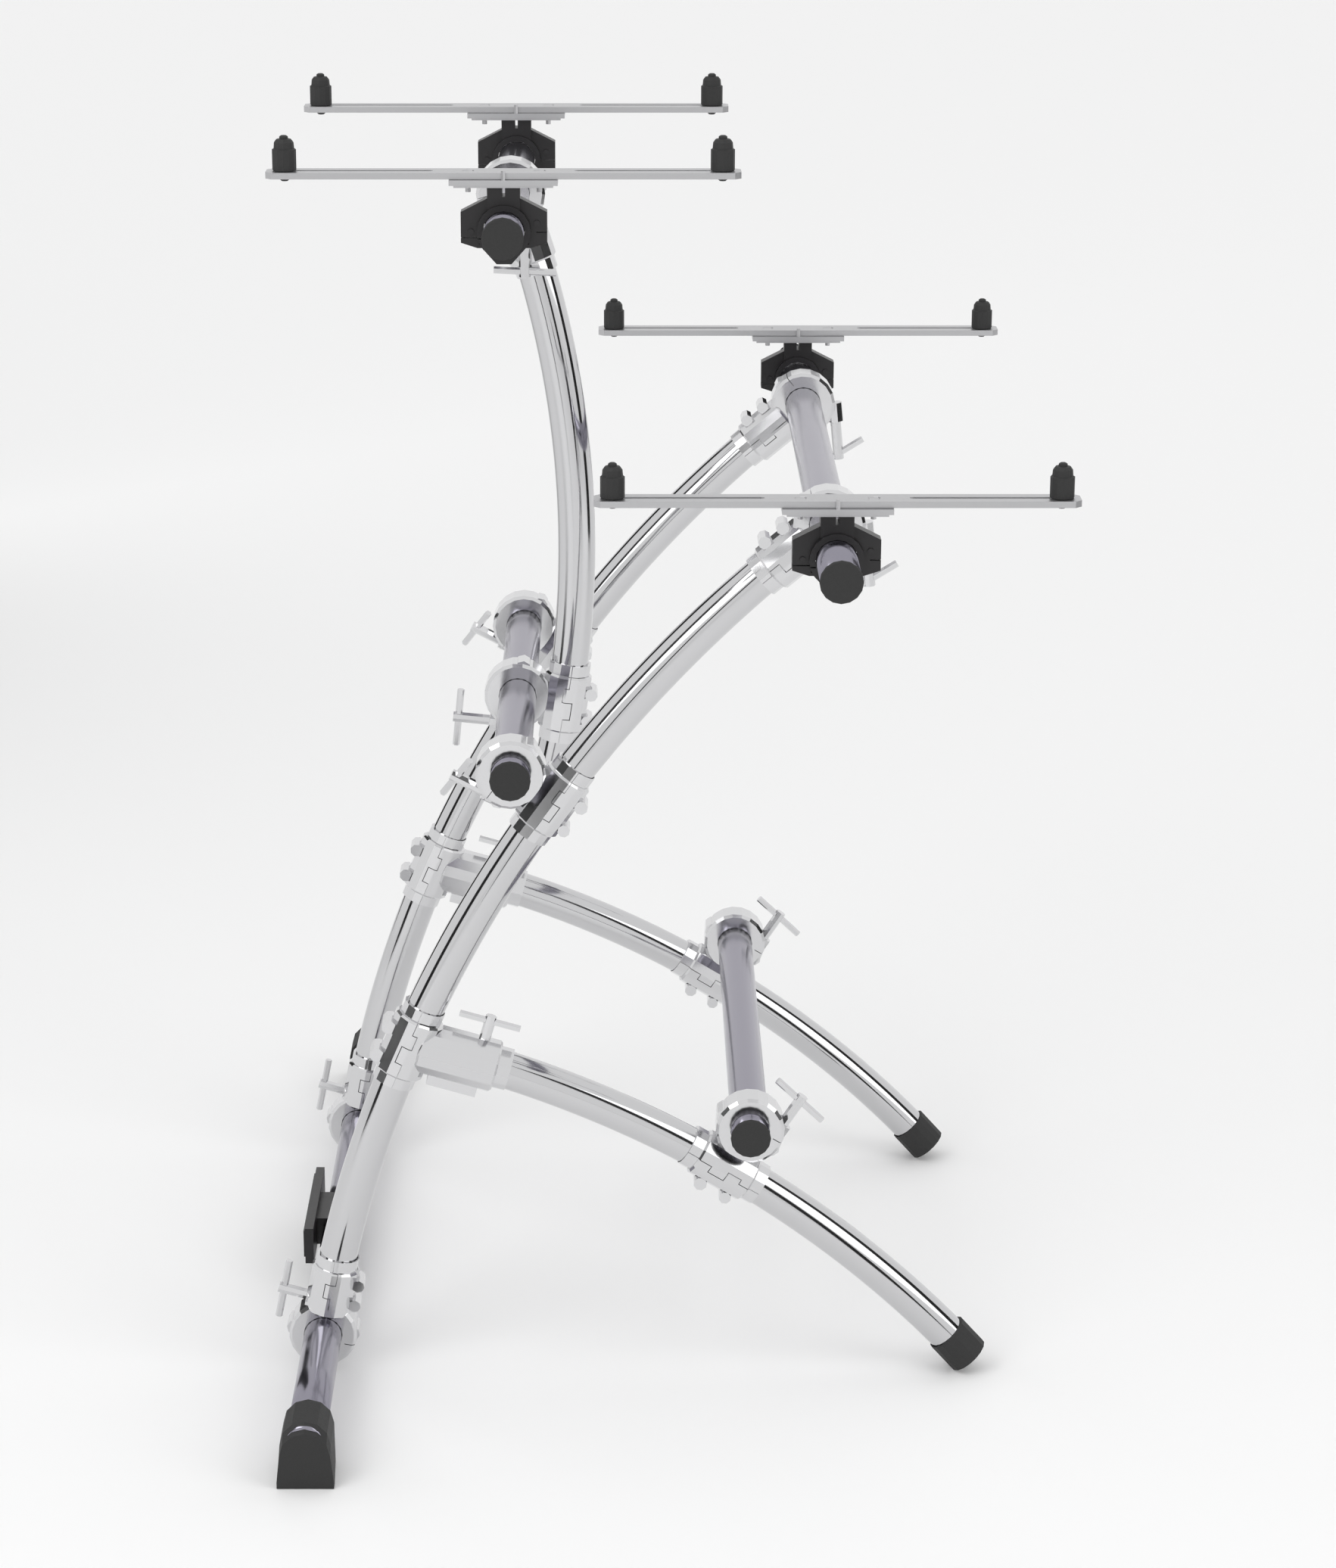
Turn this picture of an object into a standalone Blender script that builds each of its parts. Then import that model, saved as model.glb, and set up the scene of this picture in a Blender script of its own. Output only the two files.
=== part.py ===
"""Two-tier keyboard stand: chromed tube frame, hinged clamps, four slotted arms."""
import math

import bmesh
import bpy
from mathutils import Matrix, Vector

# ---- driving dimensions (metres) ----
TUBE_R = 0.01905          # outer radius of every tube
TUBE_WALL = 0.002
FIT = 0.0003              # gap left between touching pieces
CENTRE_Y = -0.00945       # midway between the tiers, from the middle of the whole
TIER_DEPTH = 0.307        # upper crossbar to lower crossbar, front to back
UPPER_Z = 1.1575
LOWER_Z = 0.8865
UPPER_HALF = 0.280        # half lengths of the straight tubes
LOWER_HALF = 0.500
CROSS_HALF = 0.3048
FOOT_HALF = 0.528
FOOT_Y = 0.33605
FOOT_Z = 0.044
SIDE_X = 0.273            # centre planes of the two side frames
SPINE_R = 1.360           # bend radii of the curved tubes
LEG_R = 1.100
POST_R = 1.050
AXIS_GAP = 0.049          # axis to axis in a pass-through clamp
MIDDLE_Z = 0.638
LEGBAR_Y = -0.09445
COUPLER_Z = 0.355
TOE_Y = -0.31945            # lower end of the leg
STUB_Z = 0.550            # lower end of the upright
BUTT = 0.0295             # crossbar axis to the end of a butted tube
RING_R = 0.0345
RING_HALF = 0.016
SLEEVE_R = 0.0245
SLEEVE_HALF = 0.030
BAND_R = 0.0214
BAND_LEN = 0.012
END_SLEEVE = 0.084        # crossbar axis to the mouth of an end sleeve
COUPLER_LEN = 0.090
COUPLER_R = 0.0265
LOBE_R = 0.0085
ZIG = 0.0075              # depth of a tooth in the zigzag split
SPLIT = 0.0008
GRIP_R = 0.0056           # screw with a T handle
GRIP_BAR_R = 0.0036
GRIP_BAR = 0.062
CAP_R = 0.0200
CAP_T = 0.003
TOE_R = 0.0215
TOE_LEN = 0.034
SHOE_LEN = 0.057
SHOE_H = 0.066
SHOE_W = 0.055
UPPER_ARM_X = 0.229
LOWER_ARM_X = 0.409
ARM_LEN = 0.4445
ARM_W = 0.030
ARM_T = 0.006
ARM_RISE = 0.0495         # crossbar axis to the underside of an arm
SLOT_IN = 0.069           # slot's end centres from the arm's middle
SLOT_INSET = 0.01325      # from an end of the arm
SLOT_R = 0.0031
PEG_INSET = 0.01725
PEG_R = 0.0113
PEG_H = 0.021
PEG_TOP = 0.033
SCREW_Y = 0.0335
PLATE_LEN = 0.1016
PLATE_W = 0.040
BADGE_L = 0.165
BADGE_H = 0.040
BADGE_T = 0.009

SIDES = 16
TURN_R = (TUBE_R + FIT) / math.cos(math.pi / SIDES)    # bore a faceted tube can turn in
SLOT_OUT = ARM_LEN / 2 - SLOT_INSET
PEG_Y = ARM_LEN / 2 - PEG_INSET
UPPER_Y = CENTRE_Y + TIER_DEPTH / 2
LOWER_Y = CENTRE_Y - TIER_DEPTH / 2
X = Vector((1.0, 0.0, 0.0))

for item in list(bpy.data.objects):
    bpy.data.objects.remove(item, do_unlink=True)
PARTS = bpy.data.collections.new("keyboard_stand")
CUTTERS = bpy.data.collections.new("cutters")
bpy.context.scene.collection.children.link(PARTS)
bpy.context.scene.collection.children.link(CUTTERS)


def material(name, color, metallic, rough):
    """A plain Principled material."""
    mat = bpy.data.materials.new(name)
    mat.use_nodes = True
    node = mat.node_tree.nodes["Principled BSDF"]
    node.inputs["Base Color"].default_value = (*color, 1.0)
    node.inputs["Metallic"].default_value = metallic
    node.inputs["Roughness"].default_value = rough
    mat.diffuse_color = (*color, 1.0)
    return mat


CHROME = ((0.80, 0.80, 0.82), 1.0, 0.08)
RUBBER = ((0.02, 0.02, 0.02), 0.0, 0.75)
PLASTIC = ((0.012, 0.012, 0.013), 0.0, 0.40)
ALUMINIUM = ((0.70, 0.70, 0.71), 1.0, 0.35)


def pose(origin, z_axis, x_axis=X):
    """Matrix at origin with local Z along z_axis and local X near x_axis."""
    z = Vector(z_axis).normalized()
    x = Vector(x_axis)
    x = (x - z * x.dot(z)).normalized()
    m = Matrix((x, z.cross(x), z)).transposed().to_4x4()
    m.translation = Vector(origin)
    return m


def lathe(points, matrix, segs=SIDES):
    """Closed solid turned about local Z; points are (r, z) from axis to axis."""
    bm = bmesh.new()
    rows = []
    for r, z in points:
        if r < 1e-7:
            rows.append([bm.verts.new((0.0, 0.0, z))])
        else:
            rows.append([bm.verts.new((r * math.cos(math.tau * i / segs), r * math.sin(math.tau * i / segs), z))
                         for i in range(segs)])
    for low, high in zip(rows, rows[1:]):
        for i in range(segs):
            k = (i + 1) % segs
            if len(low) == 1:
                bm.faces.new((low[0], high[k], high[i]))
            elif len(high) == 1:
                bm.faces.new((low[i], low[k], high[0]))
            else:
                bm.faces.new((low[i], low[k], high[k], high[i]))
    bmesh.ops.recalc_face_normals(bm, faces=bm.faces)
    bm.transform(matrix)
    return bm


def rod(radius, start, end, matrix, segs=SIDES, edge=0.0):
    """Solid cylinder along local Z from start to end, with chamfered rims."""
    pts = [(0, start), (radius - edge, start)]
    if edge > 0:
        pts += [(radius, start + edge), (radius, end - edge)]
    pts += [(radius - edge, end), (0, end)]
    return lathe(pts, matrix, segs)


def prism(outline, low, high, matrix):
    """Closed prism: outline in local X, Y, extruded along local Z."""
    bm = bmesh.new()
    a = [bm.verts.new((x, y, low)) for x, y in outline]
    b = [bm.verts.new((x, y, high)) for x, y in outline]
    n = len(a)
    for i in range(n):
        k = (i + 1) % n
        bm.faces.new((a[i], a[k], b[k], b[i]))
    bm.faces.new(a[::-1])
    bm.faces.new(b)
    bm.transform(matrix)
    bmesh.ops.recalc_face_normals(bm, faces=bm.faces)
    return bm


def block(size, matrix, centre=(0, 0, 0)):
    """Box of the given size about a local centre."""
    sx, sy = size[0] / 2, size[1] / 2
    cx, cy, cz = centre
    outline = [(cx - sx, cy - sy), (cx + sx, cy - sy), (cx + sx, cy + sy), (cx - sx, cy + sy)]
    return prism(outline, cz - size[2] / 2, cz + size[2] / 2, matrix)


def sweep(path, outer, inner=0.0, side=X):
    """Tube or solid rod along a list of points, open ends closed by flat faces."""
    bm = bmesh.new()
    shells = []
    for radius in (outer, inner):
        if radius <= 0:
            continue
        rows = []
        for i, p in enumerate(path):
            t = (path[min(i + 1, len(path) - 1)] - path[max(i - 1, 0)]).normalized()
            m = pose(p, t, side)
            rows.append([bm.verts.new(m @ Vector((radius * math.cos(math.tau * j / SIDES),
                                                  radius * math.sin(math.tau * j / SIDES), 0)))
                         for j in range(SIDES)])
        for low, high in zip(rows, rows[1:]):
            for j in range(SIDES):
                k = (j + 1) % SIDES
                bm.faces.new((low[j], low[k], high[k], high[j]))
        shells.append(rows)
    if len(shells) == 2:
        for end in (0, -1):
            for j in range(SIDES):
                k = (j + 1) % SIDES
                bm.faces.new((shells[0][end][j], shells[0][end][k], shells[1][end][k], shells[1][end][j]))
    else:
        bm.faces.new(shells[0][0])
        bm.faces.new(shells[0][-1])
    bmesh.ops.recalc_face_normals(bm, faces=bm.faces)
    return bm


def make(name, bm, origin, look, label=None):
    """Finished object in the parts collection, its origin at the given point."""
    mesh = bpy.data.meshes.new(name)
    bm.transform(Matrix.Translation(-Vector(origin)))
    bm.to_mesh(mesh)
    bm.free()
    obj = bpy.data.objects.new(name, mesh)
    obj.location = origin
    PARTS.objects.link(obj)
    mesh.materials.append(material(label or name, *look))
    mesh.shade_smooth()
    return obj


def tool(obj, bm, operation):
    """Exact Boolean of obj with a closed mesh kept in the cutters collection."""
    name = "%s_%02d" % (obj.name, len(obj.modifiers))
    mesh = bpy.data.meshes.new(name)
    bm.to_mesh(mesh)
    bm.free()
    cutter = bpy.data.objects.new(name, mesh)
    cutter.hide_render = True
    cutter.display_type = 'WIRE'
    CUTTERS.objects.link(cutter)
    mod = obj.modifiers.new(name, 'BOOLEAN')
    mod.operation = operation
    mod.solver = 'EXACT'
    mod.object = cutter


def add(obj, *solids):
    for bm in solids:
        tool(obj, bm, 'UNION')


def cut(obj, *solids):
    for bm in solids:
        tool(obj, bm, 'DIFFERENCE')


# ---- arcs of the bent tubes, in planes of constant X ----
def arc_through(p, q, radius, side):
    """Centre (Y, Z) of the circle of a radius through two points."""
    mid = (p + q) / 2
    half = (q - p) / 2
    n = Vector((-half.y, half.x)).normalized() * side
    return mid + n * math.sqrt(radius ** 2 - half.length_squared)


def at_z(centre, radius, z, side):
    return Vector((centre.x + side * math.sqrt(radius ** 2 - (z - centre.y) ** 2), z))


def bend(x, centre, radius, start, end, steps):
    """Points of an arc at plane x between two (Y, Z) points."""
    a = math.atan2(start.y - centre.y, start.x - centre.x)
    b = math.atan2(end.y - centre.y, end.x - centre.x)
    if b - a > math.pi:
        b -= math.tau
    if a - b > math.pi:
        b += math.tau
    return [Vector((x, centre.x + radius * math.cos(a + (b - a) * i / steps),
                    centre.y + radius * math.sin(a + (b - a) * i / steps))) for i in range(steps + 1)]


def along(centre, point, distance):
    """Point moved along its circle by a distance, anticlockwise in (Y, Z)."""
    v = point - centre
    turn = Matrix.Rotation(distance / v.length, 2)
    return centre + turn @ v


A = Vector((UPPER_Y, UPPER_Z))
B = Vector((LOWER_Y, LOWER_Z))
E = Vector((FOOT_Y, FOOT_Z))
SPINE_C = arc_through(B, E, SPINE_R, -1)
C = at_z(SPINE_C, SPINE_R + AXIS_GAP, MIDDLE_Z, 1)
SPINE_AT_C = SPINE_C + (C - SPINE_C).normalized() * SPINE_R
Q = at_z(SPINE_C, SPINE_R, COUPLER_Z, 1)


def leg_centre():
    """Centre of the leg's arc, with the rubber toe's rim resting on the floor."""
    toe = Vector((TOE_Y, 0.016))
    for _ in range(6):
        centre = arc_through(Q, toe, LEG_R, 1)
        slope = (toe - centre).normalized()
        toe = Vector((TOE_Y, TOE_R * slope.y))
    return centre, toe


LEG_C, TOE = leg_centre()
D = Vector((LEGBAR_Y, LEG_C.y + math.sqrt((LEG_R + AXIS_GAP) ** 2 - (LEGBAR_Y - LEG_C.x) ** 2)))
LEG_AT_D = LEG_C + (D - LEG_C).normalized() * LEG_R


def post_centre():
    """Centre of the upright's arc: through A and AXIS_GAP in front of C."""
    d = (C - A).length
    ex = (C - A) / d
    along_x = (POST_R ** 2 - (POST_R - AXIS_GAP) ** 2 + d * d) / (2 * d)
    h = math.sqrt(POST_R ** 2 - along_x ** 2)
    return A + ex * along_x + Vector((-ex.y, ex.x)) * h


POST_C = post_centre()
POST_AT_C = POST_C + (C - POST_C).normalized() * POST_R
STUB = at_z(POST_C, POST_R, STUB_Z, -1)


def at(x, p):
    return Vector((x, p.x, p.y))


# ---- tubes and the pieces on their ends ----
def straight_tube(name, p, half):
    path = [at(-half, p), at(half, p)]
    return make(name, sweep(path, TUBE_R, TUBE_R - TUBE_WALL, Vector((0, 0, 1))), at(0, p), CHROME)


def bent_tube(name, x, radius):
    path = tube_path(radius, x)
    return make(name, sweep(path, TUBE_R, TUBE_R - TUBE_WALL), path[0], CHROME)


def end_cap(name, p, half, side):
    plug = TUBE_R - TUBE_WALL - FIT
    pts = [(0, -0.012), (plug, -0.012), (plug, FIT), (CAP_R, FIT), (CAP_R, CAP_T - 0.001),
           (CAP_R - 0.001, CAP_T), (0, CAP_T)]
    m = pose(at(side * half, p), (side, 0, 0), (0, 0, 1))
    make(name, lathe(pts, m), at(side * half, p), RUBBER)


def leg_tip(name, x):
    d = (TOE - along(LEG_C, TOE, -0.01)).normalized()
    m = pose(at(x, TOE), Vector((0, d.x, d.y)))
    cut(make(name, rod(TOE_R, -TOE_LEN, 0, m), at(x, TOE), RUBBER), bore(LEG_R, x))


def shoe(name, side):
    """Moulded foot on the end of the foot bar: arched in section, flat below."""
    end = FOOT_HALF + 0.004
    rows = []
    bm = bmesh.new()
    top_r = 0.0245
    for depth, width, height in ((0.0, SHOE_W, SHOE_H - 0.008), (0.010, SHOE_W, SHOE_H), (SHOE_LEN, 0.050, SHOE_H)):
        pts = [(-width / 2, 0.0), (-width / 2, 0.006)]
        for i in range(7):
            t = math.pi * i / 6
            pts.append((-top_r * math.cos(t), height - top_r + top_r * math.sin(t)))
        pts += [(width / 2, 0.006), (width / 2, 0.0)]
        x = side * (end - depth)
        rows.append([bm.verts.new((x, FOOT_Y + u, v)) for u, v in pts])
    for low, high in zip(rows, rows[1:]):
        for i in range(len(low)):
            k = (i + 1) % len(low)
            bm.faces.new((low[i], low[k], high[k], high[i]))
    bm.faces.new(rows[0])
    bm.faces.new(rows[-1])
    bmesh.ops.recalc_face_normals(bm, faces=bm.faces)
    obj = make(name, bm, (side * end, FOOT_Y, 0.0), RUBBER)
    m = pose(at(side * (FOOT_HALF + FIT), E), (-side, 0, 0), (0, 0, 1))
    cut(obj, rod(TUBE_R + FIT, 0, SHOE_LEN + 0.02, m))


def tube_path(radius, x):
    """Centre line of the bent tube that has this bend radius."""
    if radius == SPINE_R:
        return bend(x, SPINE_C, SPINE_R, along(SPINE_C, E, BUTT), along(SPINE_C, B, -BUTT), 10)
    if radius == LEG_R:
        return bend(x, LEG_C, LEG_R, along(LEG_C, Q, BUTT), along(LEG_C, TOE, -0.0043), 8)
    return bend(x, POST_C, POST_R, STUB, along(POST_C, A, BUTT), 14)


def bore(radius, x):
    """Cutter that follows a bent tube with the fit all round."""
    path = tube_path(radius, x)
    path[0] = path[0] + (path[0] - path[1]).normalized() * FIT
    path[-1] = path[-1] + (path[-1] - path[-2]).normalized() * FIT
    return sweep(path, TUBE_R + FIT)


# ---- clamps ----
def grip(root, direction, bar, length):
    """Screw shaft with its T handle, standing on a root point."""
    m = pose(root, direction, bar)
    tip = length - GRIP_BAR_R - 0.002
    n = pose(m @ Vector((0, 0, tip)), bar, direction)
    return [rod(GRIP_R, 0, length, m, 8), rod(GRIP_BAR_R, -GRIP_BAR / 2, GRIP_BAR / 2, n, 6)]


def local(x, p, n, flip):
    """Clamp frame: local X across the stand, Y to the hinge, Z to the tube."""
    m = pose(at(x, p), Vector((0, n.x, n.y)), Vector((-1 if flip else 1, 0, 0)))
    return m


def ring_solids(obj, m, jaw=True):
    """Hinge lobe, screw lobe and their pins on the crossbar ring."""
    lobe = m @ Matrix.Translation((0, 0.029, 0.001)) @ Matrix.Rotation(math.pi / 2, 4, 'Y')
    pin = m @ Matrix.Translation((0, -0.028, 0.005)) @ Matrix.Rotation(math.pi / 2, 4, 'Y')
    add(obj, rod(LOBE_R, -0.0125, 0.0125, lobe, 8), rod(0.0026, -0.0140, 0.0140, lobe, 6),
        rod(LOBE_R, -0.0125, 0.0125, pin, 8), rod(0.0026, -0.0140, 0.0140, pin, 6))


def zigzag(m, length, radius):
    """Thin zigzag cutter for the split along a sleeve, local Z along the tube."""
    w = SPLIT / 2
    q = length / 4
    line = [(-length, 0), (-q, 0), (-q, ZIG), (q * 0.2, ZIG), (q * 0.2, -ZIG * 0.4), (q * 1.2, -ZIG * 0.4),
            (q * 1.2, ZIG * 0.3), (length, ZIG * 0.3)]
    up = []
    down = []
    for i, (z, y) in enumerate(line):
        back = line[max(i - 1, 0)]
        front = line[min(i + 1, len(line) - 1)]
        rise = (front[1] - back[1])
        s = 0 if abs(rise) < 1e-9 else (1 if rise > 0 else -1)
        up.append((z - s * w, y + w))
        down.append((z + s * w, y - w))
    outline = up + down[::-1]
    frame = m @ Matrix(((0, 0, 1, 0), (0, 1, 0, 0), (1, 0, 0, 0), (0, 0, 0, 1)))
    return prism(outline, -radius * 1.3, -radius * 0.62, frame)


def sleeve_lugs(obj, m, off):
    """Split lugs of the tube sleeve with their cross screws."""
    for h, r in ((-0.017, 0.0062), (0.012, 0.0068)):
        n = m @ Matrix.Translation((0, h, off + SLEEVE_R + 0.0015)) @ Matrix.Rotation(math.pi / 2, 4, 'Y')
        add(obj, rod(r, -0.013, 0.013, n, 8))


def pass_clamp(name, x, p, tube_point, centre, radius, flip, screw=None, mirror=1):
    """Right-angle clamp whose two tubes both run through it."""
    n = (tube_point - p).normalized()
    m = local(x, p, n, flip)
    ring = m @ Matrix.Rotation(math.pi / 2, 4, 'Y')
    obj = make(name, rod(RING_R, -RING_HALF, RING_HALF, ring, 20, 0.003), at(x, p), CHROME)
    sleeve = m @ Matrix.Translation((0, 0, AXIS_GAP)) @ Matrix.Rotation(-math.pi / 2, 4, 'X')
    add(obj, rod(SLEEVE_R, -SLEEVE_HALF, SLEEVE_HALF, sleeve, 14, 0.002),
        rod(BAND_R, -SLEEVE_HALF - BAND_LEN, SLEEVE_HALF + BAND_LEN, sleeve, 14),
        block((0.024, 0.040, 0.022), m, (0, 0, AXIS_GAP - 0.026)))
    ring_solids(obj, m)
    sleeve_lugs(obj, m, AXIS_GAP)
    finish_clamp(obj, m, x, p, centre, radius, tube_point, screw, (-0.020, 0, -0.007))
    slit = m @ Matrix.Translation((0, 0, AXIS_GAP))
    if flip:
        slit = slit @ Matrix.Rotation(math.pi, 4, 'Z')
    turned = slit @ Matrix(((1, 0, 0, 0), (0, 0, 1, 0), (0, 1, 0, 0), (0, 0, 0, 1)))
    cut(obj, zigzag(turned, 2 * SLEEVE_HALF, SLEEVE_R))


def finish_clamp(obj, m, x, p, centre, radius, tube_point, screw, gap_at):
    """Screws, crossbar bore, tube bore and the radial split beside the screw lobe."""
    if screw:
        root, direction, bar, length, loose = screw
        start = at(x, p) + Vector(root)
        d = Vector(direction).normalized()
        lug = pose(start - d * 0.004, d, Vector(bar) + Vector((0.21, 0.13, 0.17)))
        add(obj, rod(0.0090, -0.016, 0.0045, lug, 8))
        if not loose:
            add(obj, *grip(start, d, Vector(bar), length))
    cut(obj, rod(TURN_R, -0.05, 0.05, pose(at(x, p), X, (0, 0, 1))))
    cut(obj, bore(radius, x))
    cut(obj, block((0.06, 0.016, SPLIT), m, (0, -0.031, -0.0055)))
    if screw and screw[4]:
        root, direction, bar, length, loose = screw
        start = at(x, p) + Vector(root)
        cut(obj, rod(0.0030 + FIT, -0.0105, 0.02, pose(start, Vector(direction), Vector(bar)), 10))


def end_clamp(name, x, p, centre, radius, toward, flip, screw):
    """Clamp whose ring holds a crossbar and whose sleeve takes a tube's end."""
    tip = along(centre, p, toward * END_SLEEVE)
    n = (tip - p).normalized()
    m = local(x, p, n, flip)
    ring = m @ Matrix.Rotation(math.pi / 2, 4, 'Y')
    obj = make(name, rod(RING_R, -RING_HALF, RING_HALF, ring, 20, 0.003), at(x, p), CHROME)
    turned = m @ Matrix.Rotation(0.09, 4, 'Z')
    add(obj, rod(SLEEVE_R, 0.022, END_SLEEVE - BAND_LEN, turned, 15, 0.002),
        rod(BAND_R, END_SLEEVE - BAND_LEN - 0.004, END_SLEEVE, turned, 18))
    ring_solids(obj, m)
    for z in (0.036, 0.058):
        side = m @ Matrix.Translation((0, -SLEEVE_R - 0.001, z)) @ Matrix.Rotation(math.pi / 2, 4, 'Y')
        add(obj, rod(0.0064, -0.013, 0.013, side, 8))
    finish_clamp(obj, m, x, p, centre, radius, p, screw, None)
    slit = m @ Matrix.Translation((0, 0, (BUTT + END_SLEEVE) / 2))
    if flip or screw[0][0] < 0:
        slit = slit @ Matrix.Rotation(math.pi, 4, 'Z')
    cut(obj, zigzag(slit, END_SLEEVE - BUTT - 0.004, SLEEVE_R))


def coupler(name, x):
    """Sleeve round the spine with a second sleeve that takes the leg's end."""
    v = (Q - SPINE_C).normalized()
    t = Vector((0, -v.y, v.x))
    m = pose(at(x, Q), t)
    obj = make(name, rod(SLEEVE_R + 0.001, -0.031, 0.031, m, 14, 0.002), at(x, Q), CHROME)
    add(obj, rod(BAND_R, -0.031 - BAND_LEN, 0.031 + BAND_LEN, m, 14))
    q = along(LEG_C, Q, COUPLER_LEN)
    d = Vector((0, q.x - Q.x, q.y - Q.y)).normalized()
    k = pose(at(x, Q), d)
    add(obj, rod(COUPLER_R, 0.010, COUPLER_LEN, k, 14, 0.002), rod(BAND_R, 0.03, COUPLER_LEN + 0.013, k, 14))
    up = d.cross(X)
    up = up if up.z > 0 else -up
    root = at(x, Q) + d * 0.071 + up * (COUPLER_R - 0.002)
    add(obj, *grip(root, up, d, 0.026))
    add(obj, block((0.022, 0.050, 0.014), pose(at(x, Q) + d * 0.052 - up * COUPLER_R, up, X)))
    lug = pose(at(x, Q) - d * (SLEEVE_R + 0.002) + t * 0.016, X, t)
    low = pose(at(x, Q) - d * (SLEEVE_R + 0.002) - t * 0.016, X, t)
    add(obj, rod(0.0072, -0.014, 0.014, lug, 8), rod(0.0072, -0.014, 0.014, low, 8))
    cut(obj, bore(SPINE_R, x), bore(LEG_R, x))
    cut(obj, zigzag(m, 0.06, SLEEVE_R))


def loose_screw(name, origin, screw):
    """Adjusting screw that turns in its clamp: thin thread, shaft and T handle."""
    root, direction, bar, length, _ = screw
    start = Vector(origin) + Vector(root)
    d = Vector(direction).normalized()
    m = pose(start + d * (0.0005 + FIT), d, Vector(bar))
    obj = make(name, rod(GRIP_R, 0, length, m, 8), start, CHROME)
    tip = m @ Vector((0, 0, length - GRIP_BAR_R - 0.002))
    add(obj, rod(GRIP_BAR_R, -GRIP_BAR / 2, GRIP_BAR / 2, pose(tip, Vector(bar), d), 6),
        rod(0.0030, -0.010, 0.002, m, 10))


# ---- arms ----
def stadium(inner, outer, r, steps=3):
    """Outline of a slot along local Y between two end centres."""
    pts = []
    for i in range(steps + 1):
        t = math.pi * i / steps
        pts.append((r * math.cos(t), outer + r * math.sin(t)))
    for i in range(steps + 1):
        t = math.pi * (1 + i / steps)
        pts.append((r * math.cos(t), inner + r * math.sin(t)))
    return pts


def arm_bar(name, m):
    c = 0.006
    w, h = ARM_W / 2, ARM_LEN / 2
    pts = []
    for sx, sy, a in ((1, 1, 0), (-1, 1, 90), (-1, -1, 180), (1, -1, 270)):
        for k in (0, 90):
            t = math.radians(a + k)
            pts.append((sx * (w - c) + c * math.cos(t), sy * (h - c) + c * math.sin(t)))
    obj = make(name, prism(pts, ARM_RISE, ARM_RISE + ARM_T, m), m.translation, ALUMINIUM)
    for s in (1, -1):
        turn = m if s > 0 else m @ Matrix.Rotation(math.pi, 4, 'Z')
        cut(obj, prism(stadium(SLOT_IN, SLOT_OUT, SLOT_R), ARM_RISE - 0.01, ARM_RISE + 0.02, turn))
        z = ARM_RISE + ARM_T
        hole = [(0, ARM_RISE - 0.005), (0.0028, ARM_RISE - 0.005), (0.0028, z - 0.0038), (0.0066, z + 0.0003),
                (0.0066, z + 0.003), (0, z + 0.003)]
        cut(obj, lathe(hole, m @ Matrix.Translation((0, s * SCREW_Y, 0)), 8))


def arm_plate(name, m):
    """Grey plate over a thin black one, with the nut and the two through screws."""
    top = ARM_RISE - FIT
    obj = make(name, block((PLATE_W, PLATE_LEN, 0.005), m, (0, 0, top - 0.0025)), m.translation, ALUMINIUM)
    add(obj, block((PLATE_W - 0.004, 0.093, 0.0024), m, (0, 0, top - 0.006)))
    nut = m @ Matrix.Translation((-PLATE_W / 2 + 0.0022, 0, 0))
    add(obj, rod(0.0022, top - 0.001, top + 0.009, nut, 6), )
    for s in (1, -1):
        z = ARM_RISE + ARM_T
        screw = [(0, top - 0.0135), (0.0025, top - 0.0135), (0.0025, z - 0.0030), (0.0050, z - 0.0005), (0, z - 0.0005)]
        add(obj, lathe(screw, m @ Matrix.Translation((0, s * SCREW_Y, 0)), 8))


def arm_clamp(name, m):
    """Moulded clamp under an arm: column, sloping wings, ring and lower jaw."""
    face = m @ Matrix(((0, 0, 1, 0), (1, 0, 0, 0), (0, 1, 0, 0), (0, 0, 0, 1)))
    top = ARM_RISE - 0.0072 - 2 * FIT
    wings = [(-0.0405, -0.011), (-0.025, -0.016), (0.025, -0.016), (0.0405, -0.011), (0.0405, 0.018),
             (0.015, 0.031), (-0.015, 0.031), (-0.0405, 0.018)]
    obj = make(name, prism(wings, -0.008, 0.008, face), m.translation, PLASTIC)
    column = [(-0.015, 0.0), (0.015, 0.0), (0.0155, top), (-0.0155, top)]
    jaw = [(-0.0235, -0.012), (-0.007, -0.0305), (0.007, -0.0305), (0.0235, -0.012)]
    add(obj, prism(column, -0.012, 0.012, face), rod(0.0254, -0.0150, 0.0150, face, 18),
        prism(jaw, -0.0125, 0.0125, face))
    for y, z in ((0.031, -0.0005), (-0.031, 0.0075)):
        add(obj, rod(0.0030, -0.0095, 0.0095, face @ Matrix.Translation((y, z, 0)), 8))
    cut(obj, rod(TURN_R, -0.05, 0.05, pose(m.translation, X, (0, 0, 1))), block((0.003, 0.010, 0.05), face, (0, top - 0.004, 0)),
        block((0.030, 0.0012, 0.05), face, (0.034, -0.0062, 0)), block((0.012, 0.0012, 0.05), face, (-0.0365, -0.0010, 0)))


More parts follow.
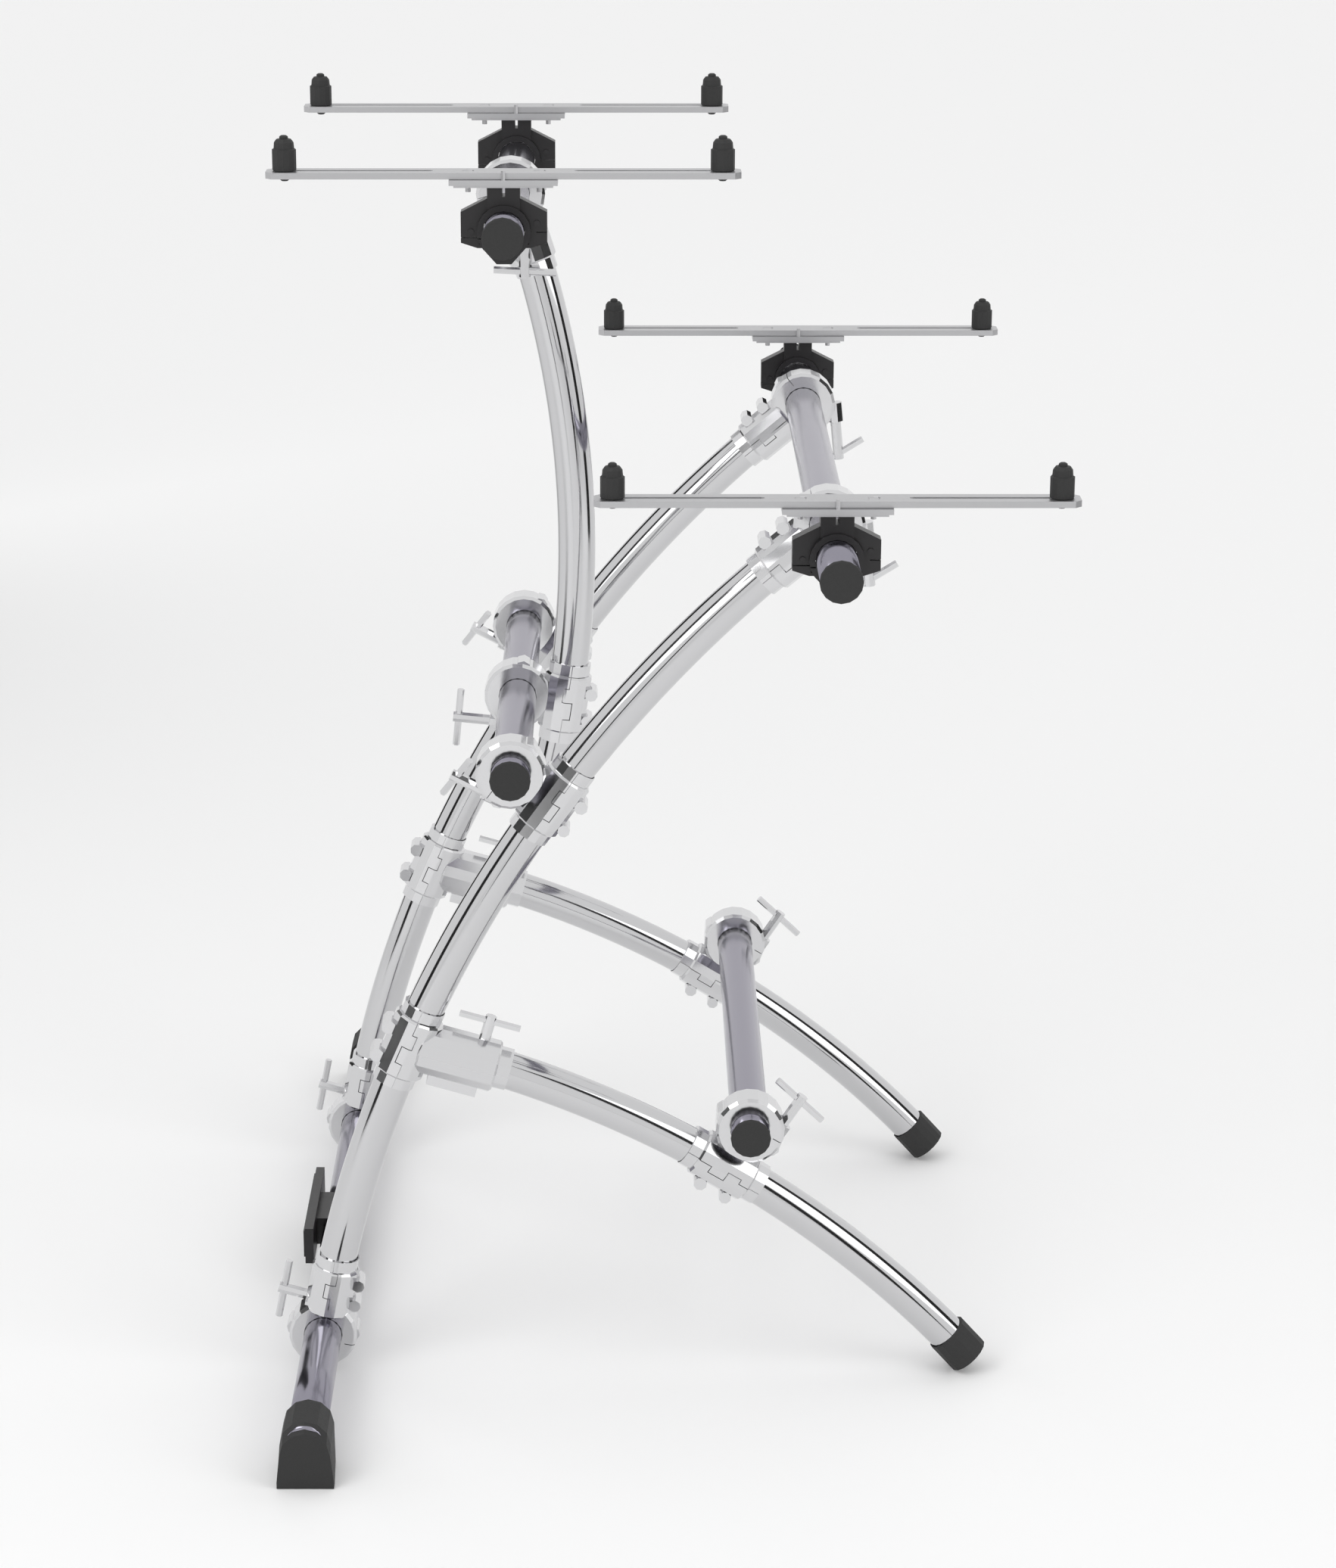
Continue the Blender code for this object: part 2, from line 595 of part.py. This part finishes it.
def peg(name, m, y):
    """Rubber peg with the screw that holds it in the slot."""
    z = ARM_RISE + ARM_T
    pts = [(0, ARM_RISE - 0.0035), (0.0030, ARM_RISE - 0.0035), (0.0048, ARM_RISE - 0.0018), (0.0048, ARM_RISE - FIT),
           (0.0027, ARM_RISE - FIT), (0.0027, z + FIT), (PEG_R - 0.0005, z + FIT), (PEG_R, z + 0.001),
           (PEG_R, z + PEG_H - 0.001), (0.0097, z + PEG_H), (0.0092, z + 0.0265), (0.0070, z + 0.0295),
           (0.0042, z + 0.0300), (0.0040, z + PEG_TOP - 0.001), (0.0025, z + PEG_TOP), (0, z + PEG_TOP)]
    at_peg = m @ Matrix.Translation((0, y, 0))
    make(name, lathe(pts, at_peg, 12), at_peg @ Vector((0, 0, z)), RUBBER)


def arm(tag, x, p, ys=(PEG_Y, -PEG_Y)):
    m = Matrix.Translation(at(x, p))
    arm_bar("arm_bar_" + tag, m)
    arm_plate("arm_plate_" + tag, m)
    arm_clamp("arm_clamp_" + tag, m)
    peg("peg_rear_" + tag, m, ys[0])
    peg("peg_front_" + tag, m, ys[1])


def badge():
    """Bare plate on the outer side of the foot bar with its saddle."""
    y = FOOT_Y + TUBE_R + FIT + 0.006
    m = Matrix.Translation((0, y, FOOT_Z + 0.004))
    obj = make("name_plate", block((BADGE_L, BADGE_T, BADGE_H), m, (0, BADGE_T / 2, 0)), (0, FOOT_Y, FOOT_Z), PLASTIC)
    add(obj, block((0.070, 0.030, 0.030), m, (0, -0.010, -0.004)),
        block((BADGE_L - 0.012, 0.004, BADGE_H - 0.010), m, (0, BADGE_T, 0)))
    cut(obj, rod(TUBE_R + FIT, -0.1, 0.1, pose(at(0, E), X, (0, 0, 1))))


# screw: root from the crossbar axis, direction, T bar direction, length, separate piece or not
SCREW_A = ((-0.0312, -0.0135, -0.0430), (0, -0.02, -1), (0, 1, 0.05), 0.036, True)
SCREW_B = ((0, -0.036, -0.020), (0, -0.1, -1), (0, -0.85, 0.53), 0.042, True)
SCREW_C = ((0, 0.026, -0.020), (0, 0.85, 0.45), (0.55, 0.45, -0.7), 0.036, False)
SCREW_CM = ((0, 0.029, -0.030), (0, 1, 0.10), (0.1, 0.1, -1), 0.038, True)
SCREW_D = ((0, -0.033, 0.002), (0, -0.55, 0.84), (0, -0.72, -0.69), 0.036, False)
SCREW_E = ((0, 0.016, 0.038), (0, 0.96, 0.28), (0, -0.2, 0.98), 0.030, False)


def build():
    straight_tube("upper_crossbar", A, UPPER_HALF)
    straight_tube("lower_crossbar", B, LOWER_HALF)
    straight_tube("middle_crossbar", C, CROSS_HALF)
    straight_tube("leg_crossbar", D, CROSS_HALF)
    straight_tube("foot_bar", E, FOOT_HALF)
    bent_tube("upright", 0.0, POST_R)
    for tag, s in (("left", -1), ("right", 1)):
        x = s * SIDE_X
        bent_tube("spine_" + tag, x, SPINE_R)
        bent_tube("leg_" + tag, x, LEG_R)
        leg_tip("leg_tip_" + tag, x)
        shoe("shoe_" + tag, s)
        end_cap("cap_upper_" + tag, A, UPPER_HALF, s)
        end_cap("cap_lower_" + tag, B, LOWER_HALF, s)
        end_cap("cap_middle_" + tag, C, CROSS_HALF, s)
        end_cap("cap_leg_" + tag, D, CROSS_HALF, s)
        pass_clamp("clamp_middle_" + tag, x, C, SPINE_AT_C, SPINE_C, SPINE_R, False, SCREW_C)
        pass_clamp("clamp_leg_" + tag, x, D, LEG_AT_D, LEG_C, LEG_R, True, SCREW_D)
        end_clamp("clamp_lower_" + tag, x, B, SPINE_C, SPINE_R, -1, False, SCREW_B)
        end_clamp("clamp_foot_" + tag, x, E, SPINE_C, SPINE_R, 1, False, SCREW_E)
        loose_screw("screw_lower_" + tag, at(x, B), SCREW_B)
        coupler("coupler_" + tag, x)
        arm("upper_" + tag, s * UPPER_ARM_X, A)
        arm("lower_" + tag, s * LOWER_ARM_X, B)
    pass_clamp("clamp_upright", 0.0, C, POST_AT_C, POST_C, POST_R, False, SCREW_CM)
    loose_screw("screw_upright", at(0, C), SCREW_CM)
    end_clamp("clamp_upper", 0.0, A, POST_C, POST_R, 1, False, SCREW_A)
    loose_screw("screw_upper", at(0, A), SCREW_A)
    badge()


build()
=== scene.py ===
# %% [markdown]
# The look of a two-tier keyboard stand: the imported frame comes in, each piece gets a procedural finish,
# and the camera stands where the photo was taken.

# %%
import math

import bmesh
import bpy
from mathutils import Matrix, Vector


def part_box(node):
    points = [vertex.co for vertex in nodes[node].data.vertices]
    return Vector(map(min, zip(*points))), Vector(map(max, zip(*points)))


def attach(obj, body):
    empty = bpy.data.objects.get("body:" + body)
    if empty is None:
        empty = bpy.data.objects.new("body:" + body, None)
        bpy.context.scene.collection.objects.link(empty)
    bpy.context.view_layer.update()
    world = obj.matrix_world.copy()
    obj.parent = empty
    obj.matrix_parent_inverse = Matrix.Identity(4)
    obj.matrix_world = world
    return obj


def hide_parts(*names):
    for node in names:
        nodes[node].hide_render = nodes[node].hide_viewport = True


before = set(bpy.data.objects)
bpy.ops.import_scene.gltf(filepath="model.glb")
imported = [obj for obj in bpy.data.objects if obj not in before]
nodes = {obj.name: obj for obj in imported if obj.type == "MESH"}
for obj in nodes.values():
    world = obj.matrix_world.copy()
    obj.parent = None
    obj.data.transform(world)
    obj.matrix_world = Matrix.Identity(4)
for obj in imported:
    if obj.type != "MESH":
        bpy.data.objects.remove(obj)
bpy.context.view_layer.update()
print("loaded", len(nodes), "nodes")

# %% [markdown]
# Finishes. Each has a faint noise in its roughness, laid out by object coordinates.


# %%
def finish_material(name, color, metallic, rough, spread, scale, bump=0.0):
    mat = bpy.data.materials.new(name)
    mat.use_nodes = True
    tree = mat.node_tree
    shader = tree.nodes["Principled BSDF"]
    shader.inputs["Base Color"].default_value = (*color, 1.0)
    shader.inputs["Metallic"].default_value = metallic
    place = tree.nodes.new("ShaderNodeTexCoord")
    noise = tree.nodes.new("ShaderNodeTexNoise")
    noise.inputs["Scale"].default_value = scale
    tree.links.new(place.outputs["Object"], noise.inputs["Vector"])
    span = tree.nodes.new("ShaderNodeMapRange")
    span.inputs["To Min"].default_value = rough
    span.inputs["To Max"].default_value = rough + spread
    tree.links.new(noise.outputs["Fac"], span.inputs["Value"])
    tree.links.new(span.outputs["Result"], shader.inputs["Roughness"])
    if bump > 0:
        relief = tree.nodes.new("ShaderNodeBump")
        relief.inputs["Strength"].default_value = bump
        relief.inputs["Distance"].default_value = 0.0004
        tree.links.new(noise.outputs["Fac"], relief.inputs["Height"])
        tree.links.new(relief.outputs["Normal"], shader.inputs["Normal"])
    return mat


chrome = finish_material("chrome", (0.60, 0.60, 0.61), 1.0, 0.06, 0.04, 30)
cross = finish_material("crossbar chrome", (0.30, 0.29, 0.34), 1.0, 0.16, 0.06, 30)
clamp = finish_material("clamp chrome", (0.66, 0.66, 0.67), 1.0, 0.10, 0.05, 60)
metal = finish_material("satin aluminium", (0.52, 0.52, 0.53), 1.0, 0.34, 0.12, 250)
plastic = finish_material("black moulding", (0.010, 0.009, 0.010), 0.0, 0.32, 0.10, 200, 0.1)
rubber = finish_material("black rubber", (0.018, 0.018, 0.018), 0.0, 0.55, 0.15, 500, 0.25)
print("finishes ready")

# %% [markdown]
# One finish for each piece, chosen by its name.

# %%
for name, piece in nodes.items():
    look = chrome
    if name.endswith("crossbar") or name == "foot_bar":
        look = cross
    elif name.startswith(("clamp", "coupler", "screw")):
        look = clamp
    elif name.startswith(("arm_bar", "arm_plate")):
        look = metal
    elif name.startswith(("arm_clamp", "name_plate")):
        look = plastic
    elif name.startswith(("cap_", "leg_tip", "shoe", "peg")):
        look = rubber
    piece.data.materials.clear()
    piece.data.materials.append(look)
print("finished", len(nodes), "pieces")

# %% [markdown]
# Smooth tubes stand for the faceted ones, along the same arcs and straight lines.

# %%
def round_tube(name, node, body, path, look, radius=0.01903, sides=48):
    shape = bmesh.new()
    rows = []
    for i, point in enumerate(path):
        ahead = (path[min(i + 1, len(path) - 1)] - path[max(i - 1, 0)]).normalized()
        side = Vector((1, 0, 0)) if abs(ahead.x) < 0.9 else Vector((0, 0, 1))
        up = ahead.cross(side)
        turns = [math.tau * k / sides for k in range(sides)]
        rows.append([shape.verts.new(point + radius * (side * math.cos(t) + up * math.sin(t))) for t in turns])
    for low, high in zip(rows, rows[1:]):
        for k in range(sides):
            n = (k + 1) % sides
            shape.faces.new((low[k], low[n], high[n], high[k]))
    shape.faces.new(rows[0])
    shape.faces.new(rows[-1])
    bmesh.ops.recalc_face_normals(shape, faces=shape.faces)
    for face in shape.faces:
        face.smooth = len(face.verts) == 4
    mesh = bpy.data.meshes.new(name)
    shape.to_mesh(mesh)
    shape.free()
    mesh.materials.append(look)
    obj = bpy.data.objects.new(name, mesh)
    bpy.context.scene.collection.objects.link(obj)
    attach(obj, body)
    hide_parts(node)


def arc_path(x, centre_y, centre_z, radius, first, last, steps=72):
    points = []
    for i in range(steps + 1):
        angle = math.radians(first + (last - first) * i / steps)
        points.append(Vector((x, centre_y + radius * math.cos(angle), centre_z + radius * math.sin(angle))))
    return points


SPINE = (-1.00515, -0.18135, 1.36, 10.7805, 50.4947)
LEG = (0.50527, -0.71367, 1.1, 105.2432, 138.3442)
POST = (1.12966, 0.79547, 1.05, 193.5197, 161.4406)
for side, x in (("left", -0.273), ("right", 0.273)):
    round_tube("round_spine_" + side, "spine_" + side, "frame", arc_path(x, *SPINE), chrome)
    round_tube("round_leg_" + side, "leg_" + side, "frame", arc_path(x, *LEG), chrome)
round_tube("round_upright", "upright", "post", arc_path(0.0, *POST), chrome)
for node, body in (("upper_crossbar", "upper_bar"), ("lower_crossbar", "lower_bar"), ("middle_crossbar", "frame"),
                   ("leg_crossbar", "frame"), ("foot_bar", "frame")):
    low, high = (Vector(corner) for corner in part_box(node))
    middle = (low + high) / 2
    line = [Vector((low.x + (high.x - low.x) * i / 8, middle.y, middle.z)) for i in range(9)]
    round_tube("round_" + node, node, body, line, cross)
print("round tubes ready")

# %% [markdown]
# Floor, studio lights with dark strips for the metal to reflect, world and camera.

# %%
def plane(name, size_x, size_y, matrix, mat):
    mesh = bpy.data.meshes.new(name)
    x, y = size_x / 2, size_y / 2
    mesh.from_pydata([(-x, -y, 0), (x, -y, 0), (x, y, 0), (-x, y, 0)], [], [(0, 1, 2, 3)])
    obj = bpy.data.objects.new(name, mesh)
    obj.matrix_world = matrix
    mesh.materials.append(mat)
    bpy.context.scene.collection.objects.link(obj)
    return obj


pale = finish_material("pale floor", (0.93, 0.93, 0.93), 0.0, 0.7, 0.1, 3)
dark = finish_material("dark strip", (0.01, 0.01, 0.01), 0.0, 0.9, 0.05, 3)
plane("floor", 40, 40, Matrix.Translation((0, 0, -0.0005)), pale)
for x, y, width in ((-3.3, -1.9, 0.75), (-1.6, 3.2, 1.0), (-0.3, -3.3, 1.2), (2.6, 2.2, 1.2), (-3.6, 1.3, 0.3)):
    turn = Matrix.Translation((x, y, 1.0)) @ Matrix.Rotation(math.atan2(y, x) + math.pi / 2, 4, 'Z')
    strip = plane("dark_strip", width, 6.0, turn @ Matrix.Rotation(math.radians(90), 4, 'X'), dark)
    strip.visible_camera = False
    strip.visible_shadow = False


def lamp(name, power, size, at, aim):
    data = bpy.data.lights.new(name, 'AREA')
    data.energy = power
    data.size = size
    obj = bpy.data.objects.new(name, data)
    z = (Matrix.Translation(at).translation - Matrix.Translation(aim).translation).normalized()
    obj.rotation_euler = z.to_track_quat('Z', 'Y').to_euler()
    obj.location = at
    bpy.context.scene.collection.objects.link(obj)


lamp("key", 45, 2.5, (-2.5, 2.5, 3.2), (0, 0, 0.6))
lamp("fill", 25, 2.5, (-2.0, -3.0, 2.4), (0, 0, 0.6))
world = bpy.data.worlds.new("studio")
world.use_nodes = True
world.node_tree.nodes["Background"].inputs["Color"].default_value = (1, 1, 1, 1)
world.node_tree.nodes["Background"].inputs["Strength"].default_value = 0.95
bpy.context.scene.world = world

lens = bpy.data.cameras.new("camera")
lens.sensor_fit = 'VERTICAL'
lens.sensor_height = 36.0
lens.lens = 36.0 * 5054 / 2072
lens.shift_x = 61.8 / 2072
camera = bpy.data.objects.new("camera", lens)
tilt = 0.308
camera.matrix_world = Matrix(((0, math.sin(tilt), -math.cos(tilt), -3.8127), (-1, 0, 0, 0.03405),
                              (0, math.cos(tilt), math.sin(tilt), 1.7509), (0, 0, 0, 1)))
bpy.context.scene.collection.objects.link(camera)
scene = bpy.context.scene
scene.camera = camera
scene.render.resolution_x = 1765
scene.render.resolution_y = 2072
scene.view_settings.view_transform = 'Standard'
